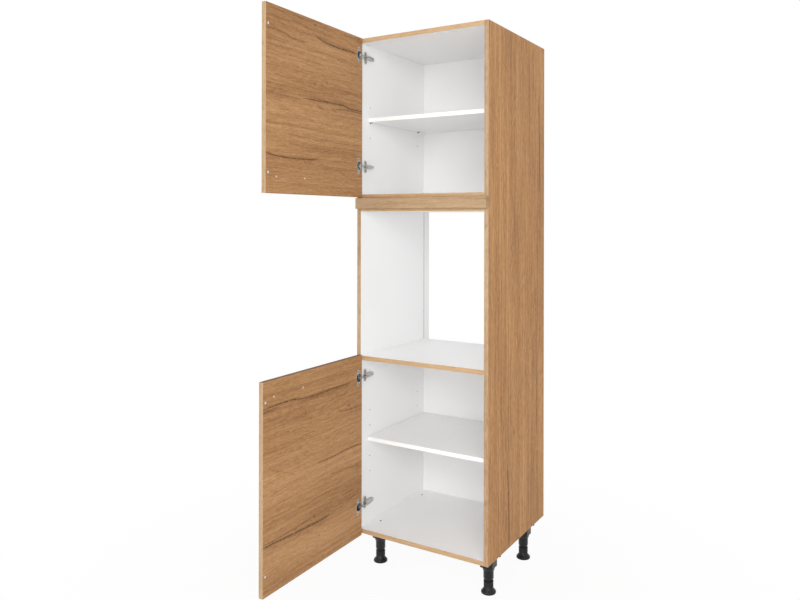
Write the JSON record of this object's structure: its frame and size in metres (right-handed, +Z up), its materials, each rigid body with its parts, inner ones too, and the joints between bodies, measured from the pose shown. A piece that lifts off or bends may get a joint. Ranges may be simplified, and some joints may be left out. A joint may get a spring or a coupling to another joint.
{
  "type": "tall oven housing unit",
  "caption": "Tall kitchen carcass on levelling legs with an open oven niche, a hinged door and a shelf above and below it, and a fascia strip.",
  "frame": {"origin": "on the floor, in the middle of the width, in the plane of the closed doors' fronts", "axes": "+X to the right seen from the front, +Y to the back, +Z up"},
  "size_m": [0.6, 1.16, 2.19],
  "materials": {
    "oak_decor_board": "oak decor film, matt, with white inner faces on the side panels",
    "white_board": "white melamine, matt, oak decor edge band in front",
    "white_back_panel": "white lacquered thin fibreboard",
    "nickel_steel": "nickel plated",
    "zinc_steel": "zinc plated",
    "black_plastic": "satin moulded plastic"
  },
  "bodies": {
    "carcass": {"side_panel_left": "oak_decor_board", "side_panel_right": "oak_decor_board", "fascia_strip": "oak_decor_board", "top_panel": "white_board", "bottom_panel": "white_board", "oven_shelf": "white_board", "niche_ceiling": "white_board", "upper_compartment_floor": "white_board", "upper_shelf": "white_board", "lower_shelf": "white_board", "upper_back_panel": "white_back_panel", "lower_back_panel": "white_back_panel", "upper_shelf_pin_front_left": "zinc_steel", "upper_shelf_pin_front_right": "zinc_steel", "upper_shelf_pin_rear_left": "zinc_steel", "upper_shelf_pin_rear_right": "zinc_steel", "lower_shelf_pin_front_left": "zinc_steel", "lower_shelf_pin_front_right": "zinc_steel", "lower_shelf_pin_rear_left": "zinc_steel", "lower_shelf_pin_rear_right": "zinc_steel", "upper_door_bottom_hinge_plate": "nickel_steel", "upper_door_bottom_hinge_arm": "nickel_steel", "upper_door_top_hinge_plate": "nickel_steel", "upper_door_top_hinge_arm": "nickel_steel", "lower_door_bottom_hinge_plate": "nickel_steel", "lower_door_bottom_hinge_arm": "nickel_steel", "lower_door_top_hinge_plate": "nickel_steel", "lower_door_top_hinge_arm": "nickel_steel", "front_left_leg_socket": "black_plastic", "front_left_leg_tube": "black_plastic", "front_left_leg_screw": "zinc_steel", "front_right_leg_socket": "black_plastic", "front_right_leg_tube": "black_plastic", "front_right_leg_screw": "zinc_steel", "rear_left_leg_socket": "black_plastic", "rear_left_leg_tube": "black_plastic", "rear_left_leg_screw": "zinc_steel", "rear_right_leg_socket": "black_plastic", "rear_right_leg_tube": "black_plastic", "rear_right_leg_screw": "zinc_steel"},
    "upper_door_long_links": {"upper_door_bottom_hinge_long_link": "nickel_steel", "upper_door_top_hinge_long_link": "nickel_steel"},
    "upper_door": {"upper_door": "oak_decor_board", "upper_door_bottom_hinge_cup": "nickel_steel", "upper_door_top_hinge_cup": "nickel_steel"},
    "upper_door_short_links": {"upper_door_bottom_hinge_short_link": "nickel_steel", "upper_door_top_hinge_short_link": "nickel_steel"},
    "lower_door_long_links": {"lower_door_bottom_hinge_long_link": "nickel_steel", "lower_door_top_hinge_long_link": "nickel_steel"},
    "lower_door": {"lower_door": "oak_decor_board", "lower_door_bottom_hinge_cup": "nickel_steel", "lower_door_top_hinge_cup": "nickel_steel"},
    "lower_door_short_links": {"lower_door_bottom_hinge_short_link": "nickel_steel", "lower_door_top_hinge_short_link": "nickel_steel"},
    "front_left_foot": {"front_left_leg_foot": "black_plastic"},
    "front_right_foot": {"front_right_leg_foot": "black_plastic"},
    "rear_left_foot": {"rear_left_leg_foot": "black_plastic"},
    "rear_right_foot": {"rear_right_leg_foot": "black_plastic"}
  },
  "joints": [
    {"name": "upper_door_long_link_turn", "type": "hinge", "parent": "carcass", "child": "upper_door_long_links", "pos_m": [-0.26446, 0.03746, 1.889], "axis": [0, 0, 1], "range_deg": [-27.33, 2.22]},
    {"name": "upper_door_swing", "type": "hinge", "parent": "upper_door_long_links", "child": "upper_door", "pos_m": [-0.27544, 0.00659, 1.889], "axis": [0, 0, 1], "range_deg": [-9.17, 115.28]},
    {"name": "upper_door_short_link_turn", "type": "hinge", "parent": "carcass", "child": "upper_door_short_links", "pos_m": [-0.26798, 0.01304, 1.889], "axis": [0, 0, 1], "range_deg": [-39.65, 3.2]},
    {"name": "lower_door_long_link_turn", "type": "hinge", "parent": "carcass", "child": "lower_door_long_links", "pos_m": [-0.26446, 0.03746, 0.5315], "axis": [0, 0, 1], "range_deg": [-27.64, 1.91]},
    {"name": "lower_door_swing", "type": "hinge", "parent": "lower_door_long_links", "child": "lower_door", "pos_m": [-0.27528, 0.00653, 0.5315], "axis": [0, 0, 1], "range_deg": [-7.86, 116.59]},
    {"name": "lower_door_short_link_turn", "type": "hinge", "parent": "carcass", "child": "lower_door_short_links", "pos_m": [-0.26798, 0.01304, 0.5315], "axis": [0, 0, 1], "range_deg": [-40.1, 2.75]},
    {"name": "front_left_foot_adjust", "type": "slide", "parent": "carcass", "child": "front_left_foot", "axis": [0, 0, -1], "range_m": [-0.0055, 0.02]},
    {"name": "front_right_foot_adjust", "type": "slide", "parent": "carcass", "child": "front_right_foot", "axis": [0, 0, -1], "range_m": [-0.0055, 0.02]},
    {"name": "rear_left_foot_adjust", "type": "slide", "parent": "carcass", "child": "rear_left_foot", "axis": [0, 0, -1], "range_m": [-0.0055, 0.02]},
    {"name": "rear_right_foot_adjust", "type": "slide", "parent": "carcass", "child": "rear_right_foot", "axis": [0, 0, -1], "range_m": [-0.0055, 0.02]}
  ],
  "couplings": [
    {"joint": "upper_door_long_link_turn", "follows": "upper_door_swing", "ratio": -0.23664},
    {"joint": "upper_door_short_link_turn", "follows": "upper_door_swing", "ratio": -0.34351},
    {"joint": "lower_door_long_link_turn", "follows": "lower_door_swing", "ratio": -0.23664},
    {"joint": "lower_door_short_link_turn", "follows": "lower_door_swing", "ratio": -0.34351}
  ]
}
